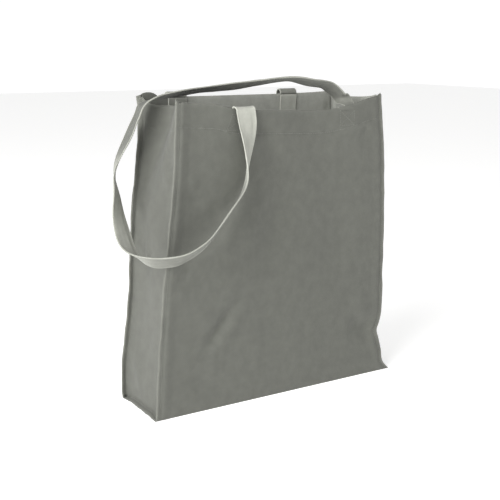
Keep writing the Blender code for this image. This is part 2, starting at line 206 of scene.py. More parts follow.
def spunbond(name, colour, pale, pitch, roughness, relief):
    """Non-woven cloth. Its UV map is the flat cloth in metres. It is pale where its fold is 1.
    The fold is painted light and shade.
    """
    made, tree, shader = start_material(name, {
        "Roughness": roughness, "IOR": 1.49, "Specular IOR Level": 0.3,
        "Sheen Weight": 0.12, "Sheen Roughness": 0.5})
    flat = add(tree, "ShaderNodeUVMap", {"uv_map": "cloth"}).outputs["UV"]
    turned = add(tree, "ShaderNodeMapping",
                 {"Rotation": (0, 0, math.radians(45))}, {"Vector": flat})
    points = add(tree, "ShaderNodeTexVoronoi",
                 {"voronoi_dimensions": "2D", "Scale": 1 / pitch, "Randomness": 0.12},
                 {"Vector": turned.outputs["Vector"]})
    dimple = add(tree, "ShaderNodeMapRange",
                 {"From Min": 0.18, "From Max": 0.42, "To Min": 0.0, "To Max": 1.0},
                 {"Value": points.outputs["Distance"]})
    cloud = add(tree, "ShaderNodeTexNoise",
                {"noise_dimensions": "2D", "Scale": 1 / CLOUD_SIZE, "Detail": 5.0,
                 "Roughness": 0.6}, {"Vector": flat})
    drawn = add(tree, "ShaderNodeMapping", {"Scale": (1.0, 0.35, 1.0)}, {"Vector": flat})
    filament = add(tree, "ShaderNodeTexNoise",
                   {"noise_dimensions": "2D", "Scale": 1 / FILAMENT, "Detail": 3.0,
                    "Roughness": 0.7}, {"Vector": drawn.outputs["Vector"]})
    # The attribute fold is painted light and shade: a painted highlight on rims, fins and strap
    # edges, and lit and shaded lengths of strap.
    fold = add(tree, "ShaderNodeAttribute", {"attribute_name": "fold"}).outputs["Fac"]
    base = add(tree, "ShaderNodeMix",
               {"data_type": "RGBA", 6: linear(colour), 7: linear(pale)}, {"Factor": fold})
    shade = add(tree, "ShaderNodeMapRange",
                {"From Min": 0.3, "From Max": 0.7, "To Min": 0.93, "To Max": 1.07},
                {"Value": cloud.outputs["Fac"]})
    grain = add(tree, "ShaderNodeMapRange",
                {"From Min": 0.2, "From Max": 0.8, "To Min": 0.93, "To Max": 1.07},
                {"Value": filament.outputs["Fac"]})
    pressed = add(tree, "ShaderNodeMapRange", {"To Min": 0.90, "To Max": 1.0},
                  {"Value": dimple.outputs["Result"]})
    tone = add(tree, "ShaderNodeMath", {"operation": "MULTIPLY"},
               {0: shade.outputs["Result"], 1: grain.outputs["Result"]})
    tone_pressed = add(tree, "ShaderNodeMath", {"operation": "MULTIPLY"},
                       {0: tone.outputs["Value"], 1: pressed.outputs["Result"]})
    toned = add(tree, "ShaderNodeVectorMath", {"operation": "SCALE"},
                {0: base.outputs[2], "Scale": tone_pressed.outputs["Value"]})
    tree.links.new(toned.outputs["Vector"], shader.inputs["Base Color"])
    height = add(tree, "ShaderNodeMath", {"operation": "ADD"},
                 {0: dimple.outputs["Result"], 1: filament.outputs["Fac"]})
    bump = add(tree, "ShaderNodeBump", {"Strength": relief, "Distance": 0.12 * MM},
               {"Height": height.outputs["Value"]})
    tree.links.new(bump.outputs["Normal"], shader.inputs["Normal"])
    return made


# The second colour of each finish is its painted light, shown where the attribute fold is 1.
CLOTH_FINISH = spunbond("Spunbond polypropylene cloth", "#5e5f59", "#787972", BOND_PITCH, 0.82, 0.5)
CLOTH_INSIDE = spunbond("Inside of the spunbond cloth", "#93948d", "#9a9b94", BOND_PITCH, 0.85, 0.5)
STRAP_FINISH = spunbond("Folded spunbond strap", "#5e5f59", "#a9aaa1", STRAP_PITCH, 0.75, 0.6)
print("cloth finishes", CLOTH_FINISH.name, "/", CLOTH_INSIDE.name, "/", STRAP_FINISH.name)


# %% [markdown]
# The thread is three-ply spun polyester in the colour of the cloth. Its twist is finer than a view
# of the bag can show, so it is drawn as a slanted stripe on each stitch.

# %% Material of the thread
def thread_finish():
    made, tree, shader = start_material("Spun polyester thread",
                                        {"Roughness": 0.6, "Sheen Weight": 0.2})
    place = add(tree, "ShaderNodeTexCoord").outputs["Object"]
    twist = add(tree, "ShaderNodeTexWave",
                {"bands_direction": "DIAGONAL", "Scale": 400.0, "Distortion": 1.0},
                {"Vector": place})
    base = add(tree, "ShaderNodeMix",
               {"data_type": "RGBA", 6: linear("#5c5d57"), 7: linear("#75766f")},
               {"Factor": twist.outputs["Fac"]})
    tree.links.new(base.outputs[2], shader.inputs["Base Color"])
    bump = add(tree, "ShaderNodeBump", {"Strength": 0.4, "Distance": 0.1 * MM},
               {"Height": twist.outputs["Fac"]})
    tree.links.new(bump.outputs["Normal"], shader.inputs["Normal"])
    return made


THREAD_FINISH = thread_finish()
print("thread finish", THREAD_FINISH.name)


# %% [markdown]
# An empty cloth bag has no straight edges, so its outline is kept as a few measured points and a
# smooth curve is drawn through them. Each table below gives how far a seam stands from the middle
# of the bag at a height, or how high a rim is at a place along it, in millimetres.

# %% Curves through a few points
def smooth(t):
    """0 up to 0 and 1 from 1, with an even S between."""
    t = min(max(t, 0.0), 1.0)
    return t * t * (3 - 2 * t)


def in_metres(*rows):
    """A table written in millimetres, in metres."""
    return tuple(tuple(value * MM for value in row) for row in rows)


def along(table, t):
    """The value at t on a smooth curve through the table's (t, value) rows."""
    t = min(max(t, table[0][0]), table[-1][0])
    i = max(k for k in range(len(table) - 1) if table[k][0] <= t)
    (t0, a), (t1, b) = table[i], table[i + 1]
    before, after = table[max(i - 1, 0)], table[min(i + 2, len(table) - 1)]
    span = t1 - t0
    s = (t - t0) / span
    slope_a = (b - before[1]) / (t1 - before[0]) * span
    slope_b = (after[1] - a) / (after[0] - t0) * span
    return ((2 * s**3 - 3 * s**2 + 1) * a + (s**3 - 2 * s**2 + s) * slope_a
            + (3 * s**2 - 2 * s**3) * b + (s**3 - s**2) * slope_b)


FRONT_LEFT = in_metres((0, 187.2), (100, 181.2), (200, 171.5), (300, 160.5), (350, 157.5),
                       (400, 156))
BACK_LEFT = in_metres((0, 178.5), (12, 180.2), (43, 179.8), (74, 175.8), (135, 168.5),
                      (200, 165.5), (250, 161.5), (325, 153), (355, 150), (378, 151),
                      (400, 153.5))
FRONT_RIGHT = in_metres((0, 187.5), (14, 174.8), (31, 171.8), (49, 166), (61, 161.2), (72, 165.5),
                        (86, 169.2), (110, 170), (170, 169.4), (210, 169.5), (250, 168),
                        (330, 163.3), (364, 159), (400, 155.2))
BACK_RIGHT = in_metres((0, 190), (60, 183.5), (100, 181.5), (200, 173), (300, 165), (400, 159))
FRONT_RIM = in_metres((-165, 392), (-150, 389.8), (-107, 386.8), (-85, 381.5), (-49, 378),
                      (0, 376), (48, 374), (74, 374.6), (99, 378), (115, 381.5), (134, 386.5),
                      (150, 389.5), (170, 392.5))
BACK_RIM = in_metres((-170, 393), (-158, 394), (-146, 397), (-136, 396), (-124, 389.5),
                     (-100, 390.3), (0, 390.3), (100, 390.6), (150, 392), (170, 393))
print("mouth", round(along(FRONT_LEFT, BAG_HEIGHT) + along(FRONT_RIGHT, BAG_HEIGHT), 4), "m long")


# %% [markdown]
# Slack cloth folds in long soft waves, with a few sharper creases left from packing. Each crease
# is a line on the panel, with how wide and how deep it is. It is deepest half way along. Near the
# ground the cloth is taut, and the waves and creases fade out.

# %% Waves and creases
WAVE = 5 * MM
WAVE_LENGTH = 222 * MM
WAVE_ZERO = -9 * MM
WAVES_FROM = 0.3  # the share of the bag's height where the waves begin
BACK_SWELL = 3 * MM
TAUT_BELOW = 30 * MM
FRONT_CREASES = in_metres(
    # from x, z to x, z, half width, depth inwards
    (-52, 392, -6, 290, 15, 5.5), (-6, 300, -24, 150, 24, 4.2), (30, 380, 45, 200, 30, -3),
    (-80, 330, -70, 180, 26, -2.5), (100, 300, 80, 120, 30, 3), (-134, 66, -58, 150, 8, 4.6),
    (-112, 70, -50, 136, 9, -2.2), (-146, 300, -128, 285, 6, -1.4),
    (-150, 285, -120, 262, 10, 1.6), (-160, 190, -140, 180, 12, 2),
    (-162, 168, -150, 150, 8, -1.2), (-150, 50, -90, 15, 14, 1.6), (142, 352, 128, 330, 8, 1.8),
    (168, 62, 110, 78, 14, 4.5), (160, 75, 120, 120, 12, -2.5),
)
BACK_CREASES = in_metres(
    (-120, 370, -60, 200, 20, -2.5), (60, 330, 100, 120, 22, 2.8), (-150, 120, -60, 60, 14, -2),
    (168, 60, 110, 80, 16, -3),
)


def crease_depth(creases, a, b):
    """How far the creases push the cloth at (a, b) inwards."""
    total = 0.0
    for a0, b0, a1, b1, width, depth in creases:
        line = Vector((a1 - a0, b1 - b0))
        here = Vector((a - a0, b - b0))
        t = min(max(here.dot(line) / line.length_squared, 0.0), 1.0)
        away = (here - line * t).length / width
        if away < 3:
            total += depth * math.exp(-away * away) * smooth(2.5 * t) * smooth(2.5 * (1 - t))
    return total


def ripple(x, y, z, size, depth):
    """A soft random swell of the cloth, about this far across and this deep."""
    return depth * noise.noise(Vector((x, y, z)) / size)


def wall_y(x, z, side):
    """The middle of the front (side -1) or back (side 1) cloth."""
    left, right = (FRONT_LEFT, FRONT_RIGHT) if side < 0 else (BACK_LEFT, BACK_RIGHT)
    edge = along(left if x < 0 else right, z)
    free = 1 - min(abs(x) / edge, 1.0) ** 4
    rise = smooth((z / BAG_HEIGHT - WAVES_FROM) / (1 - WAVES_FROM))
    slack = smooth(z / TAUT_BELOW)
    if side < 0:
        swing = WAVE * math.sin(2 * math.pi * (x - WAVE_ZERO) / WAVE_LENGTH) * free * rise
        inward = swing + crease_depth(FRONT_CREASES, x, z) * slack
    else:
        inward = -BACK_SWELL * free * rise + crease_depth(BACK_CREASES, x, z) * slack
    swell = ripple(x, side, z, 0.055, 1.6 * MM) + ripple(x, side + 3, z, 0.020, 0.45 * MM)
    return side * (HALF_DEPTH - inward - swell * slack * (0.3 + 0.7 * free))


print("creases", len(FRONT_CREASES), "on the front,", len(BACK_CREASES), "on the back")


# %% [markdown]
# Every sheet of cloth starts as a flat bmesh grid, is laid out in space one vertex at a time, and
# gets its thickness from a Solidify modifier. The grid keeps its flat size as a UV map in metres,
# so the bonded points keep their scale wherever the cloth goes.

# %% A sheet of cloth
CLOTH = 0.5 * MM


def thicken(piece, thickness, edge_share=None):
    """Give the sheet its thickness. edge_share is the middle's share of the edges' thickness."""
    wall = piece.modifiers.new("Thickness", "SOLIDIFY")
    wall.thickness = thickness
    wall.offset = 0
    if edge_share is not None:
        wall.vertex_group = "edges"
        wall.thickness_vertex_group = edge_share


def apply_modifiers(piece):
    """Keep the mesh that the modifiers make."""
    graph = bpy.context.evaluated_depsgraph_get()
    graph.update()
    mesh = bpy.data.meshes.new_from_object(piece.evaluated_get(graph))
    piece.modifiers.clear()
    piece.data = mesh
    mesh.name = piece.name
    mesh.shade_smooth()


def cloth_grid(name, columns, rows, place, finish, keep=None):
    """A grid. place(i, j) gives the point, the flat UV and the fold, its painted light, of column i
    and row j.
    """
    shape = bmesh.new()
    bmesh.ops.create_grid(shape, x_segments=columns, y_segments=rows, size=1)
    flat = shape.loops.layers.uv.new("cloth")
    fold = shape.verts.layers.float.new("fold")
    spots, cells = {}, {}
    for vertex in shape.verts:
        i = round((vertex.co.x + 1) / 2 * columns)
        j = round((vertex.co.y + 1) / 2 * rows)
        cells[vertex] = (i, j)
        point, spots[vertex], vertex[fold] = place(i, j)
        vertex.co = point
    for face in shape.faces:
        for loop in face.loops:
            loop[flat].uv = spots[loop.vert]
    if keep:
        spare = [face for face in shape.faces if not keep([cells[v] for v in face.verts])]
        bmesh.ops.delete(shape, geom=spare, context="FACES")
    return piece_of(name, shape, finish)


THICK_CORNER = -84 * MM


def line_inside(piece, outward):
    """Give the faces that look into the bag the paler inside material, painted light that comes
    through the cloth. outward is the way out at a point.
    Left of THICK_CORNER the cloth has the gusset behind it, and no light comes through."""
    piece.data.materials.append(CLOTH_INSIDE)
    for face in piece.data.polygons:
        if face.center.x > THICK_CORNER and face.normal.dot(outward(face.center)) < -0.3:
            face.material_index = 1


def count(piece):
    piece.data.calc_loop_triangles()
    print(piece.name, len(piece.data.loop_triangles), "triangles")


# %% [markdown]
# The seams are sewn wrong sides together, so their allowances stand out from the corners like thin
# fins. The machine pulls the cloth in at the stitches. Beside them the panel swells into a soft
# round shoulder, and the fin itself waves a little.

# %% Seams
FIN = 6 * MM
FIN_APART = 0.35 * MM
FIN_FLARE = 0.45 * MM
END_RISE = 4 * MM
RISE_RUN = 14 * MM
HEM_STITCH = 29.5 * MM


def seam_edge(side, y, z):
    """How far the seam line on this side (-1 left, 1 right) stands from the middle, at y and z."""
    front, back = (FRONT_LEFT, BACK_LEFT) if side < 0 else (FRONT_RIGHT, BACK_RIGHT)
    t = smooth((y / HALF_DEPTH + 1) / 2)
    return (1 - t) * along(front, z) + t * along(back, z)


def fin_lean(side, end, z):
    """The angle by which a fin is turned aside: the back left one lies back near the rim."""
    return 1.1 * smooth((z - 0.33) / 0.05) if (side, end) == (-1, 1) else 0.0


def fin_sway(side, end, z, out):
    """The wave of a fin at height z, this far out from its stitches, across its own plane."""
    t = out / FIN
    slow = ripple(side * 2, end * 2, z, 0.030, 1.1 * MM)
    quick = ripple(side, end, z, 0.009, 0.35 * MM)
    return t * (slow + quick) + end * out * math.sin(fin_lean(side, end, z))


def fin_reach(side, end, z, out):
    """How far out a point of the fin is: its cut edge isn't quite straight."""
    uneven = ripple(side * 5, end * 5, z, 0.022, 0.20)
    return out * (1 + uneven) * math.cos(fin_lean(side, end, z))


def nub(side, end):
    """How far the fin's cut end stands above the rim."""
    return -2 * MM if (side, end) == (-1, 1) else 3 * MM


def shoulder(d):
    """The soft bulge of the cloth beside a seam, at this distance from the stitches."""
    return 1.3 * MM * smooth(d / (3 * MM)) * (1 - smooth((d - 4 * MM) / (13 * MM)))


def pucker(side, end, z, d):
    """Small gathers that the stitches pull into the cloth beside them."""
    gather = ripple(side * 7, end * 7, z, 0.010, 1.0 * MM)
    return gather * smooth(d / (2 * MM)) * math.exp(-d / (9 * MM))


def hem_dent(below):
    """The groove along the hem's stitches, from 0 to 1, this far below the rim."""
    return math.exp(-(((below - HEM_STITCH) / (2.2 * MM)) ** 2))


def end_lift(x, y, out):
    """How far the short ends of the bottom stand off the ground, between the bag's corners."""
    inner = seam_edge(-1 if x < 0 else 1, y, 0) - abs(x) + out
    corner = smooth((1.02 - abs(y) / HALF_DEPTH) / 0.5)
    return END_RISE * smooth(1 - inner / RISE_RUN) * (1 - 0.3 * out / FIN) * corner


def end_seam_z(side, y, out):
    """How far the seam under a gusset stands off the ground, this far out from its stitches."""
    return end_lift(side * seam_edge(side, y, 0), y, out)


print("seam fins", round(FIN / MM, 1), "mm wide")


# %% [markdown]
# The front, the bottom and the back are one strip of cloth. It starts inside the front rim with the
# turned-in hem, folds over the rim, goes down the front, turns under, and comes up the back to the
# other hem. The rows of its grid follow that path, and the first and last few columns are the fins.

# %% Rows and columns of the long strip
HEM = 32 * MM
HEM_OFFSET = 0.8 * MM
RIM_RADIUS = 0.55 * MM
BASE_RADIUS = 1.5 * MM
FIN_STEPS = (6.0 * MM, 4.6 * MM, 3.0 * MM, 1.6 * MM)
STRIP_COLUMNS = 132
LOW_PART = 26 * MM
LEVEL_WITH_RIM = 40 * MM


def strip_rows():
    """The rows of the strip's grid as (part, side, amount)."""
    hem = [("hem", HEM - k * HEM / 7) for k in range(7)]
    fold = [("fold", math.pi * k / 5) for k in range(6)]
    near_stitch = [HEM_STITCH + k * MM for k in (-7, -4.5, -3, -2, -1, 0, 1, 2, 3, 4.5, 7)]
    tops = [1.0 * MM, 2.5 * MM, 5 * MM, 9 * MM, 13 * MM, 17 * MM, 20 * MM, *near_stitch]
    first = tops[-1]
    tops += [first + (BAG_HEIGHT - LOW_PART - first) * k / 96 for k in range(1, 97)]
    face = [("face", below) for below in tops] + [("low", 1 - k / 7) for k in range(1, 8)]
    corner = [("corner", math.pi / 2 * k / 4) for k in range(1, 5)]
    half = [(kind, -1, amount) for kind, amount in (*hem, *fold, *face, *corner)]
    base = [("base", 0, (k / 13 - 1) * (HALF_DEPTH - BASE_RADIUS)) for k in range(1, 26)]
    return [*half, *base, *[(kind, 1, amount) for kind, _, amount in reversed(half)]]


def strip_column(i):
    """(share of the way from the middle to the seam, distance beyond the seam) of a column."""
    fins = len(FIN_STEPS)
    if i < fins:
        return -1.0, FIN_STEPS[i]
    if i > fins + STRIP_COLUMNS:
        return 1.0, FIN_STEPS[fins + STRIP_COLUMNS + fins - i]
    t = (i - fins) / STRIP_COLUMNS * 2 - 1
    return 1.12 * t - 0.12 * t**3 if abs(t) < 1 else t, 0.0


STRIP_ROWS = strip_rows()
print("strip grid", len(STRIP_ROWS), "rows")


# %% [markdown]
# The cloth of a face swells beside the seams and is drawn in along the hem's stitches. Its rows
# follow the curve of the rim near the top and turn level towards the bottom, where the short ends
# lift a little off the ground. The hem and the fold stop at the seams.

# %% The long strip
NUB_FADE = 9 * MM


def rim_z(x, side):
    return along(FRONT_RIM if side < 0 else BACK_RIM, x)


def wall(x, z, side, offset=0.0, out=0.0):
    """A point on the front or back cloth. offset counts inwards, out along the fin."""
    end = -1 if x < 0 else 1
    d = seam_edge(end, side * HALF_DEPTH, z) - abs(x) if out == 0 else 0.0
    sewn = 0.55 * MM * hem_dent(rim_z(x, side) - z)
    sewn *= 1 + 0.5 * math.sin(2 * math.pi * x / 0.011) + 0.4 * math.sin(2 * math.pi * x / 0.0171)
    y, outward = side * HALF_DEPTH, 0.0
    if out == 0:
        y = wall_y(x, z, side)
        outward = shoulder(d) + pucker(end, side, z, d) - sewn * smooth(d / (6 * MM))
    sway = fin_sway(end, side, z, out)
    apart = FIN_APART + FIN_FLARE * out / FIN
    return Vector((x, y + side * (outward + apart - offset) + sway, z))


def hem_offset(amount):
    """How far the turned-in hem lies inside the cloth, this far below the fold."""
    return HEM_OFFSET + 0.3 * MM * math.exp(-amount / (3 * MM))


def strip_place(i, j):
    kind, side, amount = STRIP_ROWS[j]
    share, out = strip_column(i)
    end = -1 if share < 0 else 1
    face_y = side * HALF_DEPTH
    # fold is painted light: a painted highlight on the rim's fold and just below it, on the fins
    # and along the bottom corners.
    fold = 0.0
    base_z = BASE_RADIUS + CLOTH / 2
    if kind in ("hem", "fold", "face", "low"):
        top = rim_z(share * seam_edge(end, face_y, BAG_HEIGHT), side)
        offset = 0.0
        if kind == "hem":
            z, offset = top - 1.5 * RIM_RADIUS - amount, hem_offset(amount)
        elif kind == "fold":
            z = top - RIM_RADIUS + RIM_RADIUS * math.sin(amount)
            offset = RIM_RADIUS * (1 + math.cos(amount))
            fold = 0.5 * math.sin(amount)
        elif kind == "face":
            z = top - amount
            if amount > LEVEL_WITH_RIM:
                z = top - RIM_RADIUS - amount * (top - LOW_PART) / (BAG_HEIGHT - LOW_PART)
            fold = 0.5 * math.exp(-amount / (1.2 * MM))
        else:
            z = base_z + amount * (LOW_PART - RIM_RADIUS - base_z)
        edge = seam_edge(end, face_y, z)
        x = share * edge if kind in ("face", "low") else share * (edge - 2.5 * MM)
        x += end * fin_reach(end, side, z, out)
        point = wall(x, z, side, offset, out)
        if out:
            point.z += nub(end, side) * out / FIN * smooth(1 - (top - z) / NUB_FADE)
            fold = max(fold, 0.8 * (out / FIN) ** 2)
        point.z += end_lift(share * edge, face_y, out) * (1 - smooth((z - base_z) / (16 * MM)))
        flat_v = side * (HALF_DEPTH + (z if kind != "hem" else 2 * top - z))
    else:
        y, z = amount, CLOTH / 2
        if kind == "corner":
            y = side * (HALF_DEPTH + FIN_APART - BASE_RADIUS * (1 - math.cos(amount)))
            z += BASE_RADIUS * (1 - math.sin(amount))
            fold = 0.35 * math.sin(2 * amount) ** 2
        edge = seam_edge(end, y, 0)
        x = share * edge + end * fin_reach(end, y * 50, 0.0, out)
        z += end_lift(share * edge, y, out)
        point = Vector((x, y, z))
        flat_v = y
    return point, (share * HALF_LENGTH + end * out, flat_v), fold


def strip_keep(corners):
    """The hem and the fold over the rim stop at the seams."""
    fins = len(FIN_STEPS)
    inside = all(fins <= i <= fins + STRIP_COLUMNS for i, _ in corners)
    return inside or not any(STRIP_ROWS[j][0] in ("hem", "fold") for _, j in corners)


def strip_outward(p):
    return Vector((0, 0, -1)) if p.z < 3 * MM else Vector((0, math.copysign(1, p.y), 0))


strip = cloth_grid("front_bottom_back_cloth", STRIP_COLUMNS + 2 * len(FIN_STEPS),
                   len(STRIP_ROWS) - 1, strip_place, CLOTH_FINISH, strip_keep)
thicken(strip, CLOTH)
apply_modifiers(strip)
line_inside(strip, strip_outward)
count(strip)


# %% [markdown]
# With no load in the bag, each gusset folds inwards near the rim, along a valley that runs down and
# to the back. VALLEY gives the valley's place at each height. The left one is steep on its front
# side.

# %% The fold of a gusset
GUSSET_SAG = {-1: 9 * MM, 1: 4 * MM}
VALLEY = {-1: in_metres((180, 28), (250, 32), (302, 27), (353, 10), (400, -10)),
          1: in_metres((180, 0), (260, -4), (330, 4), (400, 0))}
VALLEY_DEPTH = 17 * MM
VALLEY_FRONT = {-1: 40 * MM, 1: 100 * MM}
VALLEY_BACK = 0.88  # the share of the way to the back seam that the valley spreads over
VALLEY_FROM = {-1: 235 * MM, 1: 215 * MM}
GUSSET_CREASES = {
    # from y, z to y, z, half width, depth inwards
    -1: in_metres((-6, 325, -42, 314, 8, 2.8), (-10, 305, -40, 290, 10, -2.2),
                  (15, 222, 12, 180, 5, -1.4), (30, 250, 10, 120, 16, 2),
                  (-30, 140, 10, 50, 14, 1.6), (40, 80, 0, 20, 12, -1.8)),
    1: in_metres((-40, 70, 20, 95, 14, 3), (10, 230, -10, 120, 18, 2.2),
                 (36, 300, 10, 250, 12, -1.8)),
}


def gusset_rim(side, y):
    """The height of a gusset's rim, which sags between the seams."""
    return BAG_HEIGHT - GUSSET_SAG[side] * (1 - (y / HALF_DEPTH) ** 4)


def gusset_inward(side, y, z):
    """How far the gusset's cloth stands in from the line between its seams."""
    centre = along(VALLEY[side], z)
    reach = VALLEY_BACK * (HALF_DEPTH - centre)
    if y < centre:
        reach = min(HALF_DEPTH + centre, VALLEY_FRONT[side])
    across = min(abs(y - centre) / reach, 1.0)
    depth = VALLEY_DEPTH * smooth((z - VALLEY_FROM[side]) / (BAG_HEIGHT - VALLEY_FROM[side]))
    d = HALF_DEPTH - abs(y)
    slack = smooth(z / TAUT_BELOW)
    fold = depth * math.cos(math.pi / 2 * across) ** 2
    creases = crease_depth(GUSSET_CREASES[side], y, z) * slack
    swell = ripple(side * 3, y, z, 0.050, 1.5 * MM) + ripple(side * 3, y, z, 0.018, 0.4 * MM)
    swell *= slack * smooth(d / (20 * MM))
    end = -1 if y < 0 else 1
    sewn = 0.5 * MM * hem_dent(gusset_rim(side, y) - z) * smooth(d / (6 * MM))
    return fold + creases + swell - shoulder(d) * 0.7 - pucker(side, end, z, d) + sewn


print("valley", round(VALLEY_DEPTH / MM), "mm deep at the rim")


# %% [markdown]
# The edges of a gusset turn out to lie against the strip's in the fins: first the turn, a quarter
# circle, and then the fin. It has a fin along its lower edge too. The two lower corners of its
# grid are cut away, where two fins would meet.

# %% The gussets
GUSSET_TURN = 1.3 * MM
GUSSET_COLUMNS = 60
TURN_STEPS = 3
GUSSET_LAST = 2 * (len(FIN_STEPS) + TURN_STEPS) + GUSSET_COLUMNS


def gusset_rows():
    """The rows of a gusset's grid as (part, amount), from its lower fin to the end of its hem."""
    fin = [("fin", out) for out in FIN_STEPS]
    turn = [("turn", math.pi / 2 * k / TURN_STEPS) for k in range(TURN_STEPS)]
    wall_rows = [("wall", k / 100) for k in range(101)]
    fold = [("fold", math.pi * (1 - k / 5)) for k in range(6)]
    hem = [("hem", k * HEM / 7) for k in range(1, 8)]
    return [*fin, *turn, *wall_rows, *fold, *hem]


def gusset_column(i):
    """(y, how far the cloth stands out of the gusset's plane, distance along the fin, end)."""
    fins = len(FIN_STEPS)
    end, k = (-1, i) if i <= GUSSET_LAST / 2 else (1, GUSSET_LAST - i)
    line = HALF_DEPTH - FIN_APART
    if k < fins:
        return end * line, GUSSET_TURN + FIN_STEPS[k], FIN_STEPS[k], end
    if k < fins + TURN_STEPS:
        angle = math.pi / 2 * (k - fins) / TURN_STEPS
        y = line - GUSSET_TURN * math.sin(angle)
        return end * y, GUSSET_TURN * math.cos(angle), 0.0, end
    t = 1 - 2 * (k - fins - TURN_STEPS) / GUSSET_COLUMNS
    return end * (line - GUSSET_TURN) * t, 0.0, 0.0, end


def gusset_maker(side):
    rows = gusset_rows()

    def place(i, j):
        kind, amount = rows[j]
        y, push, out, end = gusset_column(i)
        top = gusset_rim(side, y)
        foot = CLOTH / 2 + 2 * FIN_APART + end_seam_z(side, y, amount if kind == "fin" else 0.0)
        # fold is painted light: a painted highlight on the rim's fold and just below it, and on the
        # fins.
        offset, fold, row_push, row_out = 0.0, 0.0, 0.0, 0.0
        if kind == "fin":
            row_out = amount
            row_push = GUSSET_TURN + amount
            z = foot
        elif kind == "turn":
            row_push = GUSSET_TURN * math.cos(amount)
            z = foot + GUSSET_TURN * math.sin(amount)
        elif kind == "wall":
            z = foot + GUSSET_TURN + amount * (top - RIM_RADIUS - foot - GUSSET_TURN)
            fold = 0.5 * math.exp(-(top - z) / (1.2 * MM))
        elif kind == "fold":
            z = top - RIM_RADIUS + RIM_RADIUS * math.sin(amount)
            offset = RIM_RADIUS * (1 + math.cos(amount))
            fold = 0.5 * math.sin(amount)
        else:
            z, offset = top - RIM_RADIUS - amount, hem_offset(amount)
        inward = 0.0
        if kind not in ("fin", "turn"):
            inward = gusset_inward(side, y, z) * (1 - min(push / GUSSET_TURN, 1.0))
        x = seam_edge(side, y, z) - GUSSET_TURN - inward - offset
        reach = fin_reach(side, end, z, out) if out else row_out
        x += max(push - out + reach, row_push)
        if kind in ("fold", "hem"):
            y *= 1 - 2.0 * MM / HALF_DEPTH
        point = Vector((side * x, y, z))
        if out:
            point.y += fin_sway(side, end, z, out) - end * FIN_FLARE * out / FIN
            point.z += nub(side, end) * out / FIN * smooth(1 - (top - z) / NUB_FADE)
            fold = max(fold, 0.8 * (out / FIN) ** 2)
        if row_out:
            fold = max(fold, 0.5 * (row_out / FIN) ** 2)
        flat = (y + end * out, z - row_out if kind != "hem" else 2 * top - z)
        return point, flat, fold

    def keep(corners):
        fins = len(FIN_STEPS)
        on_fin = any(i < fins or i > GUSSET_LAST - fins for i, _ in corners)
        kinds = {rows[j][0] for _, j in corners}
        return not (on_fin and kinds & {"fin", "turn", "fold", "hem"})

    name = "left_gusset_cloth" if side < 0 else "right_gusset_cloth"
    piece = cloth_grid(name, GUSSET_LAST, len(rows) - 1, place, CLOTH_FINISH, keep)
    thicken(piece, CLOTH)
    apply_modifiers(piece)
    line_inside(piece, lambda p: Vector((side, 0, 0)))
    count(piece)
    return piece


left_gusset = gusset_maker(-1)
right_gusset = gusset_maker(1)


# %% [markdown]
# Each handle is a long strip of the same cloth, folded in three to 28 mm and sewn, so it is thick
# and holds a curve. Rows of points give the middle of the strap and the way that its width points,
# and a smooth curve through them is the path of its grid. Its edges are folded, so they are thicker
# than its middle, and they are painted paler, a painted highlight. The front strap and two sewn
# ends are painted paler or darker in places, painted light and shade.

# %% Handles
STRAP = 1.5 * MM
STRAP_WIDTH = 28 * MM
STRAP_STEP = 3.5 * MM
INSIDE_STRAP = 2.25 * MM
FOLD_OUT = 5.5 * MM
TAB = 30 * MM
PINCHED = 35 * MM
# How pale the strap is painted: PLAIN_PALE gives its plain colour, and its edges get a painted
# highlight.
PLAIN_PALE, EDGE_HIGHLIGHT = 0.21, 0.68
HALF_ACROSS = (0.15, 0.40, 0.62, 0.80, 0.90, 0.965, 1.0)
ACROSS = (*[-w for w in reversed(HALF_ACROSS)], *HALF_ACROSS)


def path_through(rows):
    """Points and width directions a strap step apart, on a smooth curve through the rows."""
    places = [Vector(place) for place, _ in rows]
    widths = [Vector(width).normalized() for _, width in rows]

    def spline(values, i, t):
        a, b, c = values[max(i - 1, 0)], values[i], values[i + 1]
        d = values[min(i + 2, len(values) - 1)]
        return 0.5 * (2 * b + (c - a) * t + (2 * a - 5 * b + 4 * c - d) * t**2
                      + (3 * b - a - 3 * c + d) * t**3)

    line = []
    for i in range(len(rows) - 1):
        pieces = max(1, round((places[i + 1] - places[i]).length / STRAP_STEP))
        for k in range(pieces):
            line.append((spline(places, i, k / pieces), spline(widths, i, k / pieces)))
    return [*line, (places[-1], widths[-1])]


